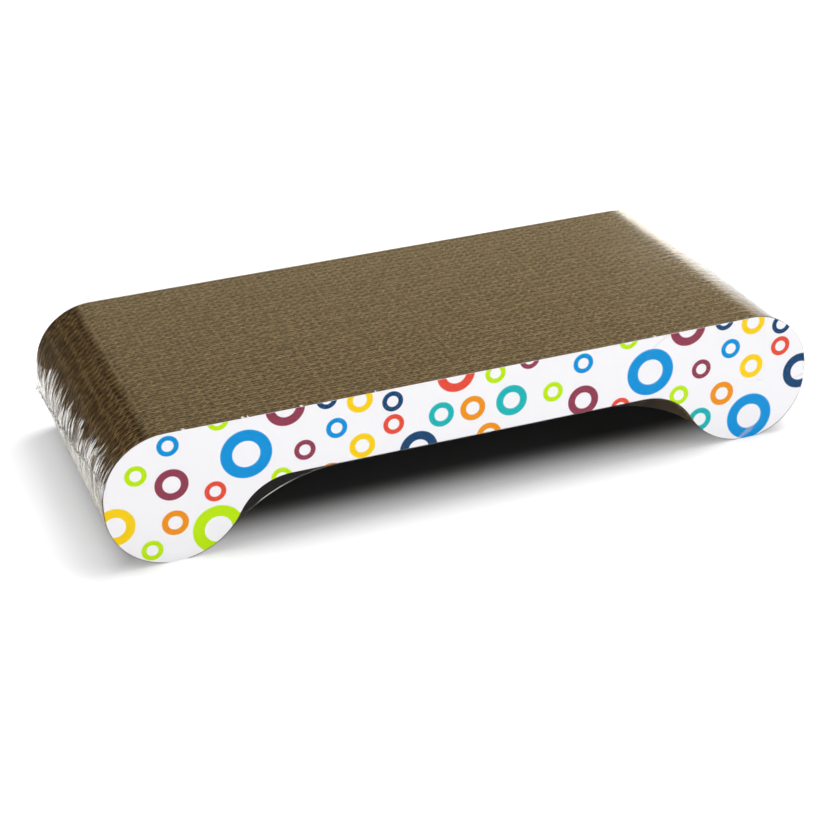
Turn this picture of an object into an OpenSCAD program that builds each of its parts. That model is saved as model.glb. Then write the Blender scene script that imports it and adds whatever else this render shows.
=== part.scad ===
// Cat scratcher: a bridge-shaped block of corrugated boards, stood on edge side by side.
// X runs along the block, Y across the boards and Z up. The two feet stand on Z = 0,
// and the origin is on the floor below the middle of the block.

/* [Block] */
// Overall length of the block, from end to end
block_len = 450; // [380:5:560]
// Overall width of the block, across the boards and both printed sheets
block_w = 199.25; // [100:0.05:260]
// Height of the scratching face above the floor
block_h = 83; // [70:1:110]
// Depth of the bar, from the scratching face down to the arch
bar_depth = 41; // [36:0.5:48]

/* [Curves] */
// Radius of the upper corner at each end
top_corner_r = 39; // [20:1:43]
// Radius of each foot's outer side
foot_outer_r = 39; // [25:1:43]
// Radius of each foot's inner side
foot_inner_r = 46; // [38:1:56]
// Radius of the arch where it turns up into the bar
arch_corner_r = 37; // [20:1:50]
// Depth that each foot is crushed flat where it stands
foot_crush = 0.3; // [0.1:0.05:0.6]

/* [Boards] */
// Number of boards glued side by side, which share the width evenly
board_count = 35; // [24:1:50]
// Thickness of the flat paper on each face of a board
liner_t = 0.35; // [0.2:0.05:0.6]
// Thickness of the fluted paper between the two flat ones
medium_t = 0.3; // [0.2:0.05:0.6]
// Distance from one flute to the next
flute_pitch = 7.73; // [6:0.01:10]

/* [Print sheets] */
// Thickness of the printed sheet glued on the front and on the back
sheet_t = 0.4; // [0.2:0.05:1]

/* [Film] */
// Thickness of the clear wrap
film_t = 0.15; // [0.1:0.05:0.4]
// Clearance between the wrap and what it wraps
film_gap = 0.2; // [0.1:0.05:0.5]
// Radius at which the tight wrap bridges each corner of the arch
film_corner_r = 100; // [60:1:120]

/* [Hidden] */
$fn = 96;

// Overrun of every cut past the face that it opens
cut_over = 1;

// Places that follow from the sizes above
half_len = block_len / 2;
foot_x = half_len - foot_outer_r;
top_r = min(top_corner_r, block_h - foot_outer_r);
top_x = half_len - top_r;
top_z = block_h - top_r;
sheet_half_w = block_w / 2;
stack_half_w = sheet_half_w - sheet_t;
board_t = 2 * stack_half_w / board_count;

function board_name(i) = str("board_", i < 10 ? "0" : "", i);

// One copy as drawn and one mirrored to the other end of the block
module both_ends() {
    children();
    mirror([1, 0, 0])
        children();
}

// Outer outline without the arch, each round corner grown outwards by grow
module blank_2d(grow) {
    base_z = -foot_crush;
    both_ends() {
        translate([top_x, top_z])
            circle(r = top_r + grow);
        translate([foot_x, base_z + foot_outer_r])
            circle(r = foot_outer_r + grow);
    }
    translate([-foot_x, base_z - grow])
        square([2 * foot_x, foot_outer_r + grow]);
    translate([-half_len - grow, base_z + foot_outer_r])
        square([2 * (half_len + grow), top_z - base_z - foot_outer_r]);
    translate([-top_x, top_z])
        square([2 * top_x, top_r + grow]);
}

// Open space below the bar. A foot's inner side is an arc about foot_x, and the corner
// under the bar is an arc that touches both that foot and the underside of the bar.
module arch_2d(grow, corner_r) {
    ceiling_z = block_h - bar_depth - grow;
    foot_z = foot_inner_r - foot_crush;
    foot_r = foot_inner_r + grow;
    round_r = corner_r - grow;
    round_z = ceiling_z - round_r;
    round_x = foot_x - sqrt(pow(foot_r + round_r, 2) - pow(foot_z - round_z, 2));
    low_z = min(round_z, 0) - cut_over;
    translate([-round_x, low_z])
        square([2 * round_x, ceiling_z - low_z]);
    both_ends() {
        translate([round_x, round_z])
            circle(r = round_r);
        difference() {
            polygon([
                [round_x, round_z], [foot_x, foot_z],
                [foot_x, low_z], [round_x, low_z]
            ]);
            translate([foot_x, foot_z])
                circle(r = foot_r);
        }
    }
}

// Side outline of the block, cut off level at the floor
module profile_2d(grow, corner_r) {
    intersection() {
        difference() {
            blank_2d(grow);
            arch_2d(grow, corner_r);
        }
        translate([-half_len - grow - cut_over, 0])
            square([2 * (half_len + grow + cut_over), block_h + grow + cut_over]);
    }
}

// The side outline as a plate that fills the space from low_y to high_y
module profile_plate(low_y, high_y, grow = 0, corner_r = arch_corner_r) {
    translate([0, high_y, 0])
        rotate([90, 0, 0])
            linear_extrude(height = high_y - low_y)
                profile_2d(grow, corner_r);
}

// Plan of a board's flutes: the hollow cells on both sides of the fluted paper
module flute_cells_2d() {
    half_pitch = flute_pitch / 2;
    cell_half = half_pitch - medium_t;
    cell_h = board_t - 2 * liner_t - medium_t;
    flute_reach = ceil(half_len / flute_pitch);
    for (k = [-flute_reach : flute_reach]) {
        translate([k * flute_pitch, liner_t])
            polygon([[-cell_half, 0], [cell_half, 0], [0, cell_h]]);
        translate([k * flute_pitch + half_pitch, board_t - liner_t])
            polygon([[-cell_half, 0], [0, -cell_h], [cell_half, 0]]);
    }
}

// One corrugated board, number i from the front. Its flutes stand upright, so their
// open ends make the scratching face, and they are in step from board to board.
module board(i) {
    front_y = (i - 1) * board_t - stack_half_w;
    color([0.66, 0.52, 0.36])
        difference() {
            profile_plate(front_y, front_y + board_t);
            translate([0, front_y, -cut_over])
                linear_extrude(height = block_h + 2 * cut_over)
                    flute_cells_2d();
        }
}

// Printed paper face on the first board
module front_print_sheet() {
    color([0.95, 0.95, 0.94])
        profile_plate(-sheet_half_w, -stack_half_w);
}

// Printed paper face on the last board
module back_print_sheet() {
    color([0.95, 0.95, 0.94])
        profile_plate(stack_half_w, sheet_half_w);
}

// Clear wrap drawn tight round the block: a thin closed bag, open only where the
// feet press it to nothing against the floor
module shrink_film() {
    inner_y = sheet_half_w + film_gap;
    outer_y = inner_y + film_t;
    color([0.8, 0.88, 0.92, 0.3])
        difference() {
            profile_plate(-outer_y, outer_y, film_gap + film_t, film_corner_r);
            profile_plate(-inner_y, inner_y, film_gap, film_corner_r);
        }
}

for (i = [1 : board_count])
    board(i);
front_print_sheet();
back_print_sheet();
shrink_film();
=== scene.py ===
"""Cat scratcher of corrugated boards on edge, with printed faces, in a clear shrink wrap."""
import math
import random

import bmesh
import bpy
from mathutils import Matrix, Vector, noise


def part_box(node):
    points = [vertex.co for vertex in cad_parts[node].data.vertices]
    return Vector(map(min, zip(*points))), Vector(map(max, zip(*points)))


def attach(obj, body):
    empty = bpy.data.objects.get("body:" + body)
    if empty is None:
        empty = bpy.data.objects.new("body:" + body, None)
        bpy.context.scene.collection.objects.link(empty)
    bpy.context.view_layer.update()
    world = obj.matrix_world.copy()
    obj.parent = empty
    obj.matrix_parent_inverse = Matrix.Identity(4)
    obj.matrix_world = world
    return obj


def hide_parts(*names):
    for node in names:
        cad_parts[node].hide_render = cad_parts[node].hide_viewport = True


bl_info = {
    "name": "Cat scratcher",
    "version": (1, 0, 0),
    "blender": (4, 5, 0),
    "location": "3D View > Sidebar > Cat scratcher",
    "description": "Dresses the packed cat scratcher with boards, printed faces, film and a stage",
    "category": "Object",
}

MM = 0.001

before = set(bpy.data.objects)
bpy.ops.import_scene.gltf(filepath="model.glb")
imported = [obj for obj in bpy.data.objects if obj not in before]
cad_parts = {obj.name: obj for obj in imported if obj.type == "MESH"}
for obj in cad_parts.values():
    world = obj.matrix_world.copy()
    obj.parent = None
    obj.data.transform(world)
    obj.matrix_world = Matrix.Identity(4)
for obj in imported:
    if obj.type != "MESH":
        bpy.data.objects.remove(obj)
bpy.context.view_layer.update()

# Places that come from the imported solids
board_names = sorted(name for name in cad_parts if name.startswith("board_"))
block_low, block_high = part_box("front_print_sheet")
half_len = block_high.x
block_h = block_high.z
half_width = -block_low.y


# Settings

def length(name, description, mm):
    """A length in millimetres as a property in metres"""
    return bpy.props.FloatProperty(
        name=name, description=description, default=mm * MM, unit="LENGTH", subtype="DISTANCE"
    )


def colour(name, description, shade):
    """A colour written as 0 to 255, kept as Blender's linear values"""
    return bpy.props.FloatVectorProperty(
        name=name, description=description, default=linear(shade), subtype="COLOR", size=3,
        min=0, max=1,
    )


def linear(shade):
    """Linear values of a colour written as 0 to 255"""
    toe_end = 0.04045
    shares = [channel / 255 for channel in shade]
    return tuple(
        c / 12.92 if c <= toe_end else ((c + 0.055) / 1.055) ** 2.4 for c in shares
    )


class OutlineSettings(bpy.types.PropertyGroup):
    """Side outline of the block"""
    bar_depth: length("Bar depth", "From the scratching face down to the arch", 41)
    top_r: length("Top corner", "Radius of the upper corner at each end", 39)
    foot_outer_r: length("Foot, outer side", "Radius of each foot's outer side", 39)
    foot_inner_r: length("Foot, inner side", "Radius of each foot's inner side", 46)
    arch_corner_r: length("Arch corner", "Radius where the arch turns up into the bar", 37)
    foot_crush: length("Foot crush", "Depth that each foot is pressed flat", 0.3)


class BoardSettings(bpy.types.PropertyGroup):
    """Corrugated boards"""
    flat_t: length("Flat paper", "Thickness of the flat papers", 0.26)
    flute_t: length("Fluted paper", "Thickness of the fluted papers", 0.32)
    fine_pitch: length("Fine flute pitch", "Distance between the fine flutes", 6.54)
    coarse_pitch: length("Coarse flute pitch", "Distance between the coarse flutes", 7.73)
    fine_share: bpy.props.FloatProperty(
        name="Fine flute share", description="Part of the hollow that the fine flutes take",
        default=0.38, min=0.2, max=0.8, subtype="FACTOR",
    )
    steps: bpy.props.IntProperty(
        name="Steps a flute", description="Mesh columns along one flute", default=7, min=4, max=12
    )
    cut_wear: length("Cut wear", "Unevenness of the cut edges", 0.22)
    # The faces' colour is darker than kraft's own, as painted shade in the flutes' hollows; the cut
    # edges stay nearer kraft's own colour
    paper: colour("Paper", "Colour of the paper's faces", (112, 89, 57))
    cut: colour("Cut edge", "Colour of the cut edges", (167, 137, 93))


class PrintSettings(bpy.types.PropertyGroup):
    """Printed paper faces"""
    repeat: length("Repeat", "Length after which the printed rings repeat", 257)
    small_r: length("Small ring", "Outer radius of the small rings", 6.5)
    middle_r: length("Middle ring", "Outer radius of the middle rings", 8)
    large_r: length("Large ring", "Outer radius of the large rings", 10)
    broad_r: length("Broad ring", "Outer radius of the broad rings", 12)
    great_r: length("Great ring", "Outer radius of the greatest rings", 15.5)
    hole_share: bpy.props.FloatProperty(
        name="Hole share", description="Hole of a ring as a part of its radius", default=0.54,
        min=0.2, max=0.9, subtype="FACTOR",
    )
    panel: colour("Panel", "Colour of the paper", (243, 242, 244))
    blue: colour("Blue", "Colour of the blue rings", (0, 144, 214))
    lime: colour("Lime", "Colour of the lime rings", (186, 228, 0))
    maroon: colour("Maroon", "Colour of the maroon rings", (142, 58, 80))
    red: colour("Red", "Colour of the red rings", (225, 75, 55))
    orange: colour("Orange", "Colour of the orange rings", (235, 145, 20))
    yellow: colour("Yellow", "Colour of the yellow rings", (245, 205, 10))
    navy: colour("Navy", "Colour of the navy rings", (22, 66, 108))
    teal: colour("Teal", "Colour of the teal rings", (24, 178, 180))


class FilmSettings(bpy.types.PropertyGroup):
    """Clear shrink wrap"""
    film_t: length("Film", "Thickness of the film", 0.06)
    reach: length("Reach", "How far the film lies outside the block", 0.34)
    bridge_r: length("Bridge", "Radius at which the film spans each corner of the arch", 100)
    wrinkle_h: length("Wrinkles", "Height of the wrinkles at the ends", 1.5)
    seam_front_z: length("Seam, front", "Height of the left seam at the front", 59)
    seam_back_z: length("Seam, back", "Height of the left seam at the back", 32)
    seam_w: length("Seam", "Width of the welded seam", 2.6)
    # The white of the painted reflections at the film's ends and of its crease lines
    reflection_white: colour("Tint", "Colour of the film's whitened creases", (236, 234, 230))


class StageSettings(bpy.types.PropertyGroup):
    """Camera, floor and lights"""
    azimuth: bpy.props.FloatProperty(
        name="Azimuth", description="Camera's turn about the block",
        default=math.radians(-19.28), subtype="ANGLE",
    )
    elevation: bpy.props.FloatProperty(
        name="Elevation", description="Camera's height angle",
        default=math.radians(27.19), subtype="ANGLE",
    )
    roll: bpy.props.FloatProperty(
        name="Roll", description="Camera's tilt", default=math.radians(-2.29), subtype="ANGLE"
    )
    distance: length("Distance", "From the camera to the point that it looks at", 1282.2)
    target_x: length("Target, along", "Place that the camera looks at, along the block", -4.7)
    target_z: length("Target, up", "Place that the camera looks at, above the floor", 12.9)
    lens: bpy.props.FloatProperty(
        name="Lens", description="Focal length in millimetres", default=87.07, min=20, max=200
    )
    floor: colour("Floor", "Colour of the floor", (238, 238, 240))


SETTINGS = {
    "scratcher_outline": OutlineSettings,
    "scratcher_boards": BoardSettings,
    "scratcher_print": PrintSettings,
    "scratcher_film": FilmSettings,
    "scratcher_stage": StageSettings,
}


# Shader maths

class Value:
    """A shader socket that adds its Math nodes when it is used in an expression"""

    def __init__(self, finish, socket):
        self.finish = finish
        self.socket = socket

    def __add__(self, other):
        return self.finish.maths("ADD", self, other)

    def __sub__(self, other):
        return self.finish.maths("SUBTRACT", self, other)

    def __mul__(self, other):
        return self.finish.maths("MULTIPLY", self, other)

    def __truediv__(self, other):
        return self.finish.maths("DIVIDE", self, other)

    def __pow__(self, other):
        return self.finish.maths("POWER", self, other)

    def __gt__(self, other):
        return self.finish.maths("GREATER_THAN", self, other)

    def __lt__(self, other):
        return self.finish.maths("LESS_THAN", self, other)

    def __abs__(self):
        return self.finish.maths("ABSOLUTE", self)

    def __rsub__(self, other):
        return self.finish.maths("SUBTRACT", other, self)

    __radd__ = __add__
    __rmul__ = __mul__


class Finish:
    """A material or world whose nodes are added one call at a time"""

    def __init__(self, data):
        self.data = data
        data.use_nodes = True
        self.tree = data.node_tree
        self.tree.nodes.clear()

    def node(self, kind, settings=None, values=None, output=0):
        """Adds a node, sets its settings first and then its sockets"""
        made = self.tree.nodes.new(kind)
        for name, setting in (settings or {}).items():
            setattr(made, name, setting)
        for key, value in (values or {}).items():
            socket = self.find(made.inputs, key)
            if isinstance(value, Value):
                self.tree.links.new(value.socket, socket)
            else:
                socket.default_value = value
        return Value(self, self.find(made.outputs, output)) if len(made.outputs) else made

    @staticmethod
    def find(sockets, key):
        """A socket by its number, identifier or name"""
        if isinstance(key, int):
            return sockets[key]
        return next(s for s in sockets if key in (s.identifier, s.name))

    def maths(self, operation, *terms, clamp=False):
        settings = {"operation": operation, "use_clamp": clamp}
        return self.node("ShaderNodeMath", settings, dict(enumerate(terms)))

    def ramp(self, value, low, high):
        """0 below low, 1 above high and smooth between them"""
        return self.node(
            "ShaderNodeMapRange", {"interpolation_type": "SMOOTHSTEP"},
            {"Value": value, "From Min": low, "From Max": high},
        )

    def mix(self, share, first, second):
        """A colour between first and second"""
        return self.node(
            "ShaderNodeMix", {"data_type": "RGBA"},
            {"Factor_Float": share, "A_Color": first, "B_Color": second}, "Result_Color",
        )

    def vector(self, operation, *terms, output=0, **others):
        values = dict(enumerate(terms))
        values.update(others)
        return self.node("ShaderNodeVectorMath", {"operation": operation}, values, output)

    def place(self):
        """Object coordinates, in metres"""
        return self.node("ShaderNodeTexCoord", output="Object")

    def axes(self, vector):
        """The three parts of a vector"""
        first = self.node("ShaderNodeSeparateXYZ", values={0: vector})
        return [Value(self, first.socket.node.outputs[i]) for i in range(3)]

    def noise(self, where, scale, detail=2.0, rough=0.5):
        return self.node(
            "ShaderNodeTexNoise", values={
                "Vector": where, "Scale": scale, "Detail": detail, "Roughness": rough,
            },
        )

    def stretched(self, where, shares):
        """Coordinates scaled along each axis, so that a pattern on them is drawn out"""
        return self.vector("MULTIPLY", where, shares)

    def bump(self, height, depth, strength=1.0):
        return self.node(
            "ShaderNodeBump", values={"Height": height, "Distance": depth, "Strength": strength}
        )

    def surface(self, shader):
        """Makes a shader the output's surface"""
        self.node("ShaderNodeOutputMaterial", values={"Surface": shader})
        return self.data


def new_finish(name):
    return Finish(bpy.data.materials.new(name))


def rgba(shade):
    return (*shade[:3], 1)


# Meshes

class Outline:
    """Side outline of the block as heights over places along X, grown outwards by grow"""

    def __init__(self, grow=0.0, corner_r=None, floor=0.0):
        sizes = bpy.context.scene.scratcher_outline
        self.floor = floor
        self.end_x = half_len + grow
        self.foot_x = half_len - sizes.foot_outer_r
        self.top_x = half_len - sizes.top_r
        self.top_z = block_h - sizes.top_r
        self.top_r = sizes.top_r + grow
        self.outer_z = sizes.foot_outer_r - sizes.foot_crush
        self.outer_r = sizes.foot_outer_r + grow
        self.inner_z = sizes.foot_inner_r - sizes.foot_crush
        self.inner_r = sizes.foot_inner_r + grow
        self.ceiling = block_h - sizes.bar_depth - grow
        self.round_r = (corner_r or sizes.arch_corner_r) - grow
        self.round_z = self.ceiling - self.round_r
        rise = self.inner_z - self.round_z
        reach = self.inner_r + self.round_r
        self.round_x = self.foot_x - math.sqrt(reach ** 2 - rise ** 2)
        self.touch_x = self.foot_x - self.inner_r * (self.foot_x - self.round_x) / reach

    @staticmethod
    def arc(radius, across):
        """Height of an arc over its own centre"""
        return math.sqrt(max(radius ** 2 - across ** 2, 0))

    def top(self, x):
        past = max(abs(x) - self.top_x, 0)
        return self.top_z + self.arc(self.top_r, past)

    def low(self, x):
        x = abs(x)
        if x >= self.foot_x:
            z = self.outer_z - self.arc(self.outer_r, x - self.foot_x)
        elif x >= self.touch_x:
            z = self.inner_z - self.arc(self.inner_r, self.foot_x - x)
        elif x >= self.round_x:
            z = self.round_z + self.arc(self.round_r, x - self.round_x)
        else:
            z = self.ceiling
        return max(z, self.floor)

    def places(self, turns, gap):
        """Places along X that draw each curve in a number of turns, and flats in gaps"""
        ends = [self.foot_x + (self.end_x - self.foot_x) * math.sin(math.pi / 2 * k / turns)
                for k in range(turns + 1)]
        curved = self.foot_x - self.round_x
        count = round(turns * 1.2)
        inner = [self.round_x + curved * k / count for k in range(count)]
        count = max(round(self.round_x / gap), 1)
        middle = [self.round_x * k / count for k in range(count)]
        half = middle + inner + ends
        return [-x for x in reversed(half[1:])] + half


def merged(places, least):
    """Sorted places without those that lie closer than least to the one before"""
    kept = []
    for x in sorted(places):
        if not kept or x - kept[-1] > least:
            kept.append(x)
    return kept


def piece(name, bm, *materials, smooth=False):
    """Turns a bmesh into a piece that rides on the block's only body"""
    mesh = bpy.data.meshes.new(name)
    for face in bm.faces:
        face.smooth = smooth
    bm.to_mesh(mesh)
    bm.free()
    obj = bpy.data.objects.new(name, mesh)
    bpy.context.scene.collection.objects.link(obj)
    for material in materials:
        mesh.materials.append(material)
    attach(obj, "root")
    return obj


def paper_strip(bm, places, outline, level, paper_t, rng, wear):
    """One paper of a board: a strip from the lower to the upper outline, bent along level(x).
    Its cut edges get the second material."""
    made = bmesh.ops.create_grid(bm, x_segments=len(places) - 1, y_segments=1, size=1)
    spots = sorted(made["verts"], key=lambda v: (round(v.co.y), v.co.x))
    count = len(places)
    for column, x in enumerate(places):
        inside = min(max(x, -half_len), half_len)
        y = level(x)
        low, top = spots[column], spots[column + count]
        low.co = (inside, y, outline.low(inside) + rng.random() * wear)
        top.co = (inside, y, outline.top(inside) - rng.random() * wear)
    faces = list({f for v in made["verts"] for f in v.link_faces})
    bmesh.ops.recalc_face_normals(bm, faces=faces)
    if faces[0].normal.y > 0:
        bmesh.ops.reverse_faces(bm, faces=faces)
    before = set(bm.faces)
    bmesh.ops.solidify(bm, geom=faces, thickness=paper_t)
    for face in (set(bm.faces) - before) | set(faces):
        middle = [
            v.co.z > (outline.low(v.co.x) + outline.top(v.co.x)) / 2 for v in face.verts
        ]
        face.material_index = int(all(middle) or not any(middle))


def flute_wave(pitch, height, phase, lean, y):
    """A fluted paper's place across its board, from 0 to height. Neighbours drift together."""
    drift_turn = 0.7
    overshoot = 1.05

    def level(x):
        turn = 2 * math.pi * x / pitch + phase
        turn += lean * math.sin(turn) + drift_turn * noise.noise((x * 14, y * 12, pitch * 900))
        return height * (0.5 + 0.5 * max(min(overshoot * math.sin(turn), 1), -1))
    return level


# Pieces

def paper_finish(name, shade, fleck):
    """Kraft paper: soft blotches, fibres drawn out along the flutes and a tone for each board"""
    f = new_finish(name)
    where = f.place()
    x, y, z = f.axes(where)
    board_t = (2 * half_width) / len(board_names)
    tone = f.node("ShaderNodeTexWhiteNoise", {"noise_dimensions": "1D"},
                  {"W": f.maths("FLOOR", (y + half_width) / board_t)})
    blotch = f.noise(where, 55, 3.0, 0.6)
    fibre = f.noise(f.stretched(where, (1, 1, 0.12)), 1500, 2.0, 0.6)
    grain = f.noise(where, 2600, 1.0, 0.5)
    speckle = f.ramp(f.noise(f.stretched(where, (1, 0.5, 0.4)), 360, 1.0, 0.5), 0.32, 0.68)
    deep = rgba([c * 0.62 for c in shade])
    pale = rgba([min(c * 1.22, 1) for c in shade])
    share = blotch * 0.4 + speckle * 0.85 + fibre * fleck + grain * 0.2 + tone * 0.1 - 0.52
    base = f.mix(f.maths("MINIMUM", share, 1, clamp=True), deep, pale)
    rough = 0.82 + fibre * 0.15
    dents = f.bump(fibre * 0.6 + grain * 0.4, 0.00012, 0.5)
    return f.surface(f.node("ShaderNodeBsdfPrincipled", values={
        "Base Color": base, "Roughness": rough, "Normal": dents, "Specular IOR Level": 0.1,
    }))


class SCRATCHER_OT_boards(bpy.types.Operator):
    """Replace each packed board with one that has flat and fluted papers"""
    bl_idname = "scratcher.boards"
    bl_label = "Corrugated boards"

    def execute(self, context):
        sizes = context.scene.scratcher_boards
        # The faces' darker colour is painted shade in the hollows between the papers
        faces = paper_finish("kraft_paper_painted_shade", sizes.paper, 0.45)
        edges = paper_finish("kraft_cut_edge", sizes.cut, 0.5)
        outline = Outline(floor=0.12 * MM)
        curves = outline.places(14, 24 * MM)
        for number, name in enumerate(board_names, 1):
            rng = random.Random(number)
            front, back = (corner.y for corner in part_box(name))
            bm = bmesh.new()
            flat_t = sizes.flat_t
            hollow = back - front - 3 * flat_t
            fine_h = hollow * sizes.fine_share
            y = front
            for pitch, height in ((sizes.fine_pitch, fine_h),
                                  (sizes.coarse_pitch, hollow - fine_h)):
                self.flat(bm, curves, outline, y, flat_t, rng, sizes.cut_wear)
                y += flat_t
                self.fluted(bm, curves, outline, y, pitch, height, sizes, rng)
                y += height
            self.flat(bm, curves, outline, y, flat_t, rng, sizes.cut_wear)
            board = piece(f"{name}_papers", bm, faces, edges)
            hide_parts(name)
        return {"FINISHED"}

    @staticmethod
    def flat(bm, curves, outline, y, paper_t, rng, wear):
        paper_strip(bm, curves, outline, lambda x: y, paper_t, rng, wear)

    @staticmethod
    def fluted(bm, curves, outline, y, pitch, height, sizes, rng):
        phase, lean = rng.uniform(-0.2, 0.2), 0.1
        wave = flute_wave(pitch, height - sizes.flute_t, phase, lean, y)
        step = pitch / sizes.steps
        count = int(2 * half_len / step)
        shift = rng.random() * step
        places = [-half_len + shift + step * k for k in range(count)]
        ends = [x for x in curves if abs(x) > half_len - 14 * MM]
        places = merged(places + ends, 0.35 * MM)
        paper_strip(
            bm, places, outline, lambda x: y + wave(x), sizes.flute_t, rng, 2 * sizes.cut_wear
        )


# Printed rings of one repeat, on a grid of 5 mm: colour, place along it and height in mm, size
RINGS = (
    ("blue", 40, 75, "small"), ("lime", 20, 60, "small"), ("maroon", 40, 50, "large"),
    ("blue", 85, 60, "great"), ("red", 65, 40, "small"), ("orange", 40, 25, "middle"),
    ("lime", 105, 40, "small"), ("maroon", 120, 55, "small"), ("blue", 140, 65, "small"),
    ("yellow", 155, 50, "middle"), ("navy", 175, 75, "small"), ("red", 175, 60, "small"),
    ("teal", 205, 60, "middle"), ("orange", 225, 60, "middle"), ("teal", 250, 60, "large"),
    ("orange", 135, 35, "middle"), ("blue", 155, 15, "great"), ("yellow", 5, 30, "broad"),
    ("lime", 25, 10, "small"), ("lime", 65, 15, "great"), ("maroon", 110, 85, "broad"),
    ("lime", 70, 85, "small"), ("yellow", 155, 80, "middle"), ("red", 215, 85, "broad"),
    ("lime", 240, 80, "small"), ("navy", 190, 40, "broad"), ("orange", 235, 40, "middle"),
    ("teal", 120, 20, "middle"), ("navy", 135, 85, "small"), ("maroon", 5, 85, "small"),
)


INKS = ("blue", "lime", "maroon", "red", "orange", "yellow", "navy", "teal")


def print_finish(name, facing):
    """White paper with coloured rings. The print runs from left to right as it is seen, so
    facing is 1 for the front and -1 for the back."""
    inks = bpy.context.scene.scratcher_print
    f = new_finish(name)
    where = f.place()
    x, y, z = f.axes(where)
    flat = f.node("ShaderNodeCombineXYZ", values={"X": x * facing + half_len, "Z": z})
    half_repeat = inks.repeat / 2
    base = rgba(inks.panel)
    paper = f.noise(where, 900, 3.0, 0.6)
    base = f.mix(paper * 0.12, base, rgba([c * 0.8 for c in inks.panel]))
    soft_edge = 0.2 * MM
    outer_face = abs(y) > half_width - 0.05 * MM
    for ink in INKS:
        inked = None
        for shade, along, up, size in RINGS:
            if shade != ink:
                continue
            away = f.vector("SUBTRACT", flat, (along * MM, 0, up * MM))
            away = f.vector("WRAP", away, (half_repeat, 1, 1), (-half_repeat, -1, -1))
            reach = f.vector("LENGTH", away, output="Value")
            radius = getattr(inks, f"{size}_r")
            middle = radius * (1 + inks.hole_share) / 2
            half_band = radius * (1 - inks.hole_share) / 2
            band = f.maths("MULTIPLY_ADD", half_band - abs(reach - middle), 1 / soft_edge, 0.5,
                           clamp=True)
            inked = band if inked is None else f.maths("MAXIMUM", inked, band)
        tone = rgba(getattr(inks, ink))
        base = f.mix(inked * outer_face, base, tone)
    ripple = f.noise(f.stretched(where, (1, 1, 0.35)), 90, 2.0, 0.5)
    dents = f.bump(ripple * 0.6 + paper * 0.1, 0.0006, 0.25)
    return f.surface(f.node("ShaderNodeBsdfPrincipled", values={
        "Base Color": base, "Roughness": 0.55 + paper * 0.2, "Normal": dents,
        "Specular IOR Level": 0.05,
    }))


# Torn flecks of the printed face on its top edge: place along X and width, in mm
FLECKS = ((-175, 2.5), (-140, 2), (-137, 1), (-105, 3), (-60, 1), (120, 1.5))


class SCRATCHER_OT_print_sheets(bpy.types.Operator):
    """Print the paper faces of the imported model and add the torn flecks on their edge"""
    bl_idname = "scratcher.print_sheets"
    bl_label = "Printed paper faces"

    def execute(self, context):
        for name, facing in (("front_print_sheet", 1), ("back_print_sheet", -1)):
            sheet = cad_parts[name]
            finish = print_finish(f"{name}_rings", facing)
            if not sheet.data.materials:
                sheet.data.materials.append(finish)
            for slot in sheet.material_slots:
                slot.material = finish
        self.flecks(context)
        return {"FINISHED"}

    @staticmethod
    def flecks(context):
        f = new_finish("torn_paper")
        fibre = f.noise(f.place(), 1800, 2.0, 0.6)
        pale = rgba(context.scene.scratcher_print.panel)
        base = f.mix(fibre * 0.4, pale, rgba(linear((205, 190, 165))))
        paper = f.surface(f.node("ShaderNodeBsdfPrincipled", values={
            "Base Color": base, "Roughness": 0.75 + fibre * 0.2,
        }))
        rng = random.Random(7)
        depth, lift = 2.4 * MM, 0.05 * MM
        bm = bmesh.new()
        for along, width in FLECKS:
            made = bmesh.ops.create_grid(bm, x_segments=4, y_segments=3, size=0.5)
            for v in made["verts"]:
                across, back = v.co.x, v.co.y + 0.5
                ragged = 1 + 0.35 * rng.uniform(-1, 1)
                v.co = (
                    along * MM + across * width * MM * (1 - 0.5 * back) * ragged,
                    -half_width + lift + back * depth * ragged,
                    block_h + lift + 0.12 * MM * rng.random(),
                )
        bmesh.ops.recalc_face_normals(bm, faces=bm.faces)
        for face in bm.faces:
            if face.normal.z < 0:
                face.normal_flip()
        bmesh.ops.solidify(bm, geom=bm.faces[:], thickness=0.05 * MM)
        torn = piece("print_sheet_flecks", bm, paper)


def seam_z(y, sizes):
    """Height of the left end's welded seam at a place across the block"""
    share = (y + half_width) / (2 * half_width)
    return sizes.seam_front_z + (sizes.seam_back_z - sizes.seam_front_z) * share


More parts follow.
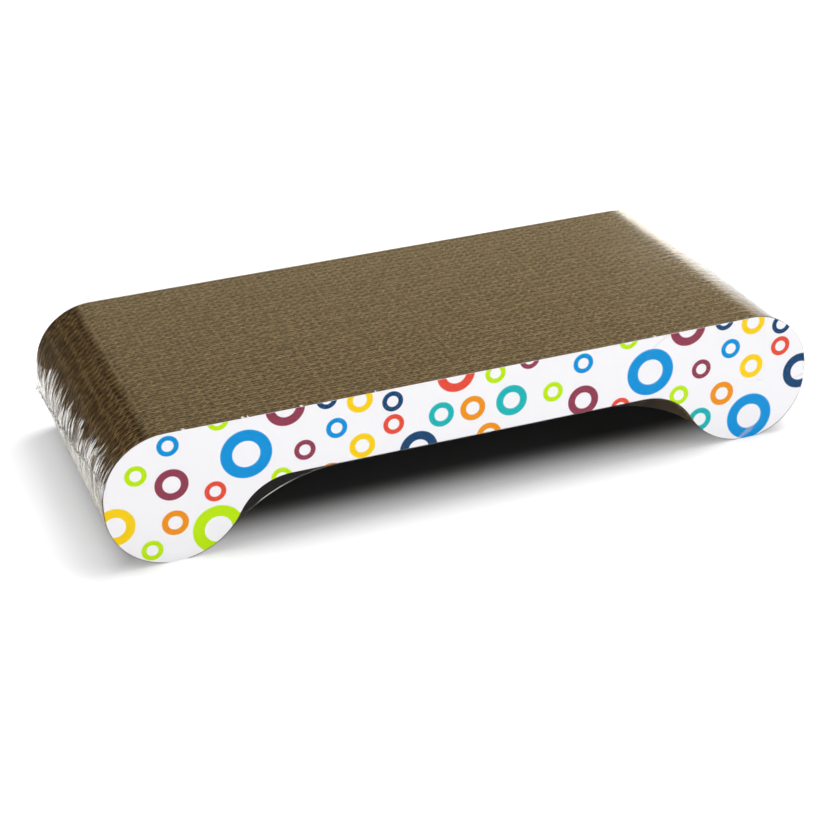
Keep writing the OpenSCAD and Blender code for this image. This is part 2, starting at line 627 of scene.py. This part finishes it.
def film_finish(name):
    """Clear film: mirrors more at a flat angle, with painted reflections drawn in white at the ends,
    as streaks, a pale skirt and glints on the weld, and white crease lines on the faces. The weld's
    line crosses both ends, fainter on the right, and only the left one has a fin."""
    sizes = bpy.context.scene.scratcher_film
    f = new_finish(name)
    where = f.place()
    x, y, z = f.axes(where)
    slope = (sizes.seam_back_z - sizes.seam_front_z) / (2 * half_width)
    above = z - (sizes.seam_front_z + slope * half_width) - y * slope

    # Painted reflections: white streaks, a pale skirt and glints along the weld at the ends, and
    # crease lines drawn white
    end = f.ramp(abs(x), half_len - 18 * MM, half_len - 8 * MM)
    side = 0.35 + (x < 0) * 0.65
    round_end = abs(y) < half_width
    spikes = f.noise(f.stretched(where, (0.2, 1, 0.08)), 560, 2.0, 0.55)
    tips = f.noise(f.stretched(where, (0.1, 1, 0.02)), 300, 2.0, 0.7)
    reach = 17 * MM + y * 0.05 + 44 * MM * (tips - 0.5)
    reached = f.ramp(reach - above, 0, 4 * MM)
    streak_zone = reached * f.ramp(above, -12 * MM, 0)
    streaks = f.ramp(spikes, 0.5, 0.62)
    thin = f.ramp(f.noise(f.stretched(where, (0.3, 1, 0.1)), 900, 2.0, 0.5), 0.5, 0.66)
    # A pale skirt under the seam: painted reflection of the white floor
    below = f.ramp(above, 0, -4 * MM) * (0.03 + thin * 0.2)
    weld = 1 - f.ramp(abs(above), 0.5 * MM, 1.4 * MM)
    # Bright specks along the weld: painted glints
    weld_glints = weld * f.ramp(f.noise(where, 700, 2.0, 0.6), 0.48, 0.6) * 0.8
    painted_reflection = end * side * round_end * (streak_zone * streaks * 0.35 + below + weld_glints)
    drift = f.noise(f.stretched(where, (1, 1, 1.6)), 11, 1.0, 0.5)
    patchy = f.ramp(f.noise(where, 30, 2.0, 0.5), 0.5, 0.62)
    # Crease lines on the right of the faces, drawn white: partly real creases, partly painted
    # reflection
    crease = (1 - f.ramp(abs(drift - 0.5), 0.0, 0.014)) * patchy * f.ramp(x, 0.1, 0.17)
    painted_reflection = f.maths("MINIMUM", painted_reflection + crease * (1 - round_end) * 0.2, 0.85)

    # Folds that bend the reflections
    crumple = f.noise(f.stretched(where, (0.6, 1, 0.3)), 160, 2.0, 0.5)
    pleats = f.noise(f.stretched(where, (0.06, 1, 0.06)), 300, 2.0, 0.6)
    ripple = f.noise(f.stretched(where, (0.1, 1, 0.1)), 330, 2.0, 0.6)
    turn = f.ramp(x, half_len - 64 * MM, half_len - 34 * MM) + (x < 0) * f.ramp(
        0 - x, half_len - 42 * MM, half_len - 32 * MM
    )
    folds = (crumple * 0.5 + pleats * 0.8) * end + ripple * turn * 0.17
    dents = f.bump(folds * round_end, 0.0007, 1.0)

    # Share of light that is mirrored, held back on the left rounding
    facing = f.node("ShaderNodeLayerWeight", values={"Blend": 0.5}, output="Facing")
    least = 0.25 + f.ramp(above, 4 * MM, -6 * MM) * 0.5
    gaps = least + (1 - least) * f.ramp(spikes, 0.42, 0.56)
    bend = f.ramp(0 - x, half_len - 28 * MM, half_len - 20 * MM) * round_end
    quiet = 1 - bend * (1 - reached * gaps) * 0.98
    shine = 0.003 + bend * streak_zone * streaks * 0.45 + 0.95 * facing ** 5 * quiet
    shine = f.maths("MINIMUM", shine, 1)
    clear = f.node("ShaderNodeBsdfTransparent", values={"Color": (1, 1, 1, 1)})
    gloss = f.node("ShaderNodeBsdfGlossy", values={
        "Color": (1, 1, 1, 1), "Roughness": 0.1, "Normal": dents,
    })
    film = f.node("ShaderNodeMixShader", values={"Fac": shine, 1: clear, 2: gloss})
    # The white shader that the painted reflections mix in
    white = f.node("ShaderNodeBsdfPrincipled", values={
        "Base Color": rgba(sizes.reflection_white), "Roughness": 0.3, "Normal": dents,
    })
    return f.surface(f.node("ShaderNodeMixShader", values={"Fac": painted_reflection, 1: film, 2: white}))


def film_bag(places, columns_y, rows, outline, half_w):
    """A closed box of quads drawn to the block's outline: along X, across Y and up"""
    bm = bmesh.new()
    bmesh.ops.create_cube(bm, size=2)
    counts = (len(places) - 1, columns_y, rows)
    for axis, count in enumerate(counts):
        along = [e for e in bm.edges if abs((e.verts[0].co - e.verts[1].co)[axis]) > 0.5]
        bmesh.ops.subdivide_edges(bm, edges=along, cuts=count - 1)
    for v in bm.verts:
        column = round((v.co.x + 1) / 2 * counts[0])
        across, up = v.co.y, (v.co.z + 1) / 2
        x = places[column]
        low = outline.low(x)
        v.co = (x, across * half_w, low + (outline.top(x) - low) * up)
    return bm


class SCRATCHER_OT_film(bpy.types.Operator):
    """Wrap the block in clear film, wrinkled at both ends, with a welded seam"""
    bl_idname = "scratcher.film"
    bl_label = "Shrink film"

    def execute(self, context):
        sizes = context.scene.scratcher_film
        finish = film_finish("clear_film")
        outline = Outline(sizes.reach, sizes.bridge_r, floor=0.01 * MM)
        half_w = half_width + sizes.reach
        columns_y, rows = 120, 3
        bm = film_bag(outline.places(22, 12 * MM), columns_y, rows, outline, half_w)
        for v in bm.verts:
            self.wrinkle(v, outline, half_w, sizes)
        bmesh.ops.solidify(bm, geom=bm.faces[:], thickness=sizes.film_t)
        bag = piece("shrink_film_bag", bm, finish, smooth=True)
        for face in bag.data.polygons:
            face.use_smooth = abs(face.normal.y) < 0.7
        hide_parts("shrink_film")
        self.seam(outline, half_w, sizes, finish)
        return {"FINISHED"}

    @staticmethod
    def wrinkle(v, outline, half_w, sizes):
        """Lifts the film off the ends in folds that run round them"""
        x, y, z = v.co
        past = abs(x) - outline.top_x
        if past <= 0:
            return
        centre_z = min(max(z, outline.outer_z), outline.top_z)
        away = Vector((past, 0, z - centre_z))
        if away.length < 0.001:
            return
        away.normalize()
        left = x < 0
        right_middle = 41 * MM
        middle = seam_z(y, sizes) if left else right_middle
        height = z - middle
        rise = 32 * MM if height > 0 else 38 * MM
        swell = max(1 - abs(height) / rise, 0)
        swell = swell * swell * (3 - 2 * swell)
        edge = min((half_w - abs(y)) / (5 * MM), 1)
        seed = 3 if left else 11
        fold = 1 - abs(noise.noise((y * 210, z * 30, seed)))
        fine = 1 - abs(noise.noise((y * 520, z * 45, seed + 20)))
        tent = (0.35 + 0.45 * (y + half_w) / (2 * half_w)) if left else 0.25
        lift = sizes.wrinkle_h * swell * edge * (tent + 0.7 * fold ** 5 + 0.3 * fine ** 4)
        away.x = math.copysign(away.x, x)
        v.co += away * lift
        v.co.z = max(v.co.z, outline.floor)

    @staticmethod
    def seam(outline, half_w, sizes, finish):
        """The weld down the left end, with a crinkled fin that stands off the block"""
        bm = bmesh.new()
        steps, rows = 150, 4
        made = bmesh.ops.create_grid(bm, x_segments=steps, y_segments=rows, size=0.5)
        for v in made["verts"]:
            across, out = v.co.x + 0.5, v.co.y + 0.5
            y = (2 * across - 1) * (half_w + 0.5 * MM)
            z = seam_z(y, sizes)
            centre_z = min(max(z, outline.outer_z), outline.top_z)
            away = Vector((0, 0, z - centre_z))
            away.x = -Outline.arc(outline.outer_r, away.z)
            away.normalize()
            root = Vector((-outline.foot_x, y, centre_z)) + away * outline.outer_r
            width = sizes.seam_w * (0.7 + 0.5 * noise.noise((y * 40, 5, 0)) + 0.7 * across ** 3)
            crinkle = noise.noise((y * 300, out * 2, 9)) + 0.6 * noise.noise((y * 700, out * 3, 4))
            drop = Vector((0, 0, -1))
            v.co = root + away * (0.4 * MM + width * out)
            v.co += drop * (width * 0.35 * out * out - crinkle * 0.7 * MM * out)
        bmesh.ops.recalc_face_normals(bm, faces=bm.faces)
        bmesh.ops.solidify(bm, geom=bm.faces[:], thickness=sizes.film_t)
        fin = piece("shrink_film_seam", bm, finish, smooth=True)


# Stage

def aim(place, target):
    """Turn that points a lamp's -Z from place to target"""
    return (Vector(target) - Vector(place)).to_track_quat("-Z", "Y").to_euler()


class SCRATCHER_OT_stage(bpy.types.Operator):
    """Set the floor, the lamps, the world and the camera"""
    bl_idname = "scratcher.stage"
    bl_label = "Stage"

    def execute(self, context):
        sizes = context.scene.scratcher_stage
        context.scene.view_settings.view_transform = "Standard"
        self.floor(sizes)
        self.lamps(context)
        self.world(context)
        self.camera(context, sizes)
        return {"FINISHED"}

    @staticmethod
    def floor(sizes):
        f = new_finish("pale_floor")
        where = f.place()
        edge = f.vector("ABSOLUTE", where)
        edge = f.vector("SUBTRACT", edge, (half_len, half_width, 1))
        past = f.vector("MAXIMUM", edge, (0, 0, 0))
        far = f.vector("LENGTH", past, output="Value")
        path = f.node("ShaderNodeLightPath").socket.node
        rays = [Value(f, path.outputs[name]) for name in
                ("Is Camera Ray", "Is Glossy Ray", "Is Transmission Ray")]
        seen = f.maths("MAXIMUM", f.maths("MAXIMUM", rays[0], rays[1]), rays[2])
        edge_x, edge_y = f.axes(edge)[:2]
        outside = f.maths("MAXIMUM", edge_x, edge_y)

        # The floor's colour is darkened under the block as a painted shadow, and the floor glows for
        # the camera alone as painted light, more with distance and beside the left end
        inside = f.ramp(0 - outside, 4 * MM, 45 * MM)
        left = f.ramp(0 - f.axes(where)[0], 200 * MM, 228 * MM)
        far_painted_light = f.ramp(far * (1 - left * 0.45), 15 * MM, 100 * MM)
        floor_painted_light = left * 0.2 + f.ramp(outside, -37 * MM, 22 * MM) * 0.45 + far_painted_light * 0.28
        floor_painted_light = floor_painted_light + f.ramp(far, 0.4, 2.0) * 0.3
        # Outside the block's plan the floor also glows for reflections and for rays through the
        # film, painted light that only these see, less and warmer beside the left end
        mirrored = f.ramp(far, 0.0, 0.01) * (1.2 - left * 0.3) * (seen - rays[0])
        floor_painted_light = floor_painted_light * rays[0]
        light = f.node("ShaderNodeCombineXYZ", values={
            "X": floor_painted_light + mirrored, "Y": floor_painted_light + mirrored * (1 - left * 0.04),
            "Z": floor_painted_light + mirrored * (1 - left * 0.12),
        })
        # The base colour goes to a dark grey under the block: the painted shadow
        shade = f.node("ShaderNodeBsdfPrincipled", values={
            "Base Color": f.mix(inside, rgba(sizes.floor), (0.06, 0.06, 0.06, 1)), "Roughness": 0.9,
            "Specular IOR Level": 0.0, "Emission Color": light, "Emission Strength": 1.0,
        })
        bm = bmesh.new()
        floor_reach, floor_drop = 12, 0.1 * MM
        bmesh.ops.create_grid(bm, x_segments=1, y_segments=1, size=floor_reach)
        bmesh.ops.translate(bm, verts=bm.verts, vec=(0, 0, -floor_drop))
        mesh = bpy.data.meshes.new("floor")
        bm.to_mesh(mesh)
        bm.free()
        mesh.materials.append(f.surface(shade))
        ground = bpy.data.objects.new("floor", mesh)
        bpy.context.scene.collection.objects.link(ground)

    @staticmethod
    def lamps(context):
        """Area lamps: name, place, width, height and watts. The key lamp isn't mirrored."""
        spots = (
            ("key_softbox", (1.55, -0.85, 0.85), 1.2, 0.6, 11.5),
            ("front_softbox", (-0.25, -1.25, 0.3), 1.2, 0.5, 8.4),
            ("overhead_softbox", (1.2, 0.5, 2.4), 2.0, 1.8, 60),
        )
        for name, where, width, height, watts in spots:
            lamp = bpy.data.lights.new(name, "AREA")
            lamp.shape = "RECTANGLE"
            lamp.size = width
            lamp.size_y = height
            lamp.energy = watts
            obj = bpy.data.objects.new(name, lamp)
            obj.location = where
            obj.rotation_euler = aim(where, (0, 0, 0.04))
            obj.visible_glossy = name != "key_softbox"
            context.scene.collection.objects.link(obj)

    @staticmethod
    def world(context):
        world = bpy.data.worlds.new("studio")
        context.scene.world = world
        f = Finish(world)
        where = f.node("ShaderNodeTexCoord", output="Generated")
        x, y, z = f.axes(where)
        path = f.node("ShaderNodeLightPath").socket.node
        camera, glossy = (Value(f, path.outputs[name]) for name in
                          ("Is Camera Ray", "Is Glossy Ray"))
        through = Value(f, path.outputs["Is Transmission Ray"])
        seen = f.maths("MAXIMUM", camera, through)

        # Reflections see a pale low sky, a backdrop at the left and a window at the back right
        low_sky = 1 - f.ramp(z, 0.01, 0.12) * 0.35 - f.ramp(z, 0.56, 0.64) * 0.5
        window = (1 - f.ramp(z - f.ramp(y, 0.815, 0.83) * 0.03, 0.22, 0.41)) * f.ramp(x, 0.395, 0.44)
        window = window * (1 + 2.2 * f.ramp(y, 0.785, 0.825))
        window = window * (1 - f.ramp(x, 0.47, 0.62) * 0.4)
        backdrop = (1 - f.ramp(z, 0.12, 0.3)) * (1 - f.ramp(x, -0.2, -0.1)) * 0.9
        behind = f.ramp(y, 0.35, 0.65)
        mirrored = 0.02 + low_sky * f.ramp(x, -0.1, -0.02) + backdrop + window
        mirrored = mirrored * behind + (1 - behind) * 0.25
        warmth = glossy * f.ramp(z, 0.02, 0.25) * (1 - f.maths("MINIMUM", window, 1) * 0.68)
        tone = f.mix(warmth, (1, 1, 1, 1), (1, 0.84, 0.5, 1))

        # Matt surfaces get a soft light from above, and the camera sees white
        light = 0.01 + 0.26 * f.ramp(z, 0.2, 0.8) * f.ramp(x, -0.5, 0.6)
        level = light * (1 - seen) + seen
        level = level * (1 - glossy) + mirrored * glossy
        back = f.node("ShaderNodeBackground", values={"Color": tone, "Strength": level})
        f.node("ShaderNodeOutputWorld", values={"Surface": back})

    @staticmethod
    def camera(context, sizes):
        az, el, roll = sizes.azimuth, sizes.elevation, sizes.roll
        back = Vector((
            math.sin(az) * math.cos(el), -math.cos(az) * math.cos(el), math.sin(el)
        ))
        right = Vector((0, 0, 1)).cross(back).normalized()
        up = back.cross(right)
        turned = right * math.cos(roll) + up * math.sin(roll)
        upright = up * math.cos(roll) - right * math.sin(roll)
        data = bpy.data.cameras.new("camera")
        data.sensor_width = 36
        data.lens = sizes.lens
        data.clip_start = 0.05
        obj = bpy.data.objects.new("camera", data)
        obj.matrix_world = basis(turned, upright, back)
        obj.location = Vector((sizes.target_x, 0, sizes.target_z)) + back * sizes.distance
        context.scene.collection.objects.link(obj)
        context.scene.camera = obj


def basis(right, up, back):
    """A turn from the three axes that it gives"""
    return Matrix((right, up, back)).transposed().to_4x4()


class VIEW3D_PT_scratcher(bpy.types.Panel):
    """Buttons for the pieces and the stage"""
    bl_label = "Cat scratcher"
    bl_space_type = "VIEW_3D"
    bl_region_type = "UI"
    bl_category = "Cat scratcher"

    def draw(self, context):
        for operator in STEPS:
            self.layout.operator(operator.bl_idname)


STEPS = (
    SCRATCHER_OT_boards, SCRATCHER_OT_print_sheets, SCRATCHER_OT_film, SCRATCHER_OT_stage,
)


def register():
    for cls in (*SETTINGS.values(), *STEPS, VIEW3D_PT_scratcher):
        bpy.utils.register_class(cls)
    for name, cls in SETTINGS.items():
        setattr(bpy.types.Scene, name, bpy.props.PointerProperty(type=cls))


def unregister():
    for name in SETTINGS:
        delattr(bpy.types.Scene, name)
    for cls in (VIEW3D_PT_scratcher, *reversed(STEPS), *SETTINGS.values()):
        bpy.utils.unregister_class(cls)


def main():
    register()
    bpy.ops.scratcher.boards()
    bpy.ops.scratcher.print_sheets()
    bpy.ops.scratcher.film()
    bpy.ops.scratcher.stage()


if __name__ == "__main__":
    main()
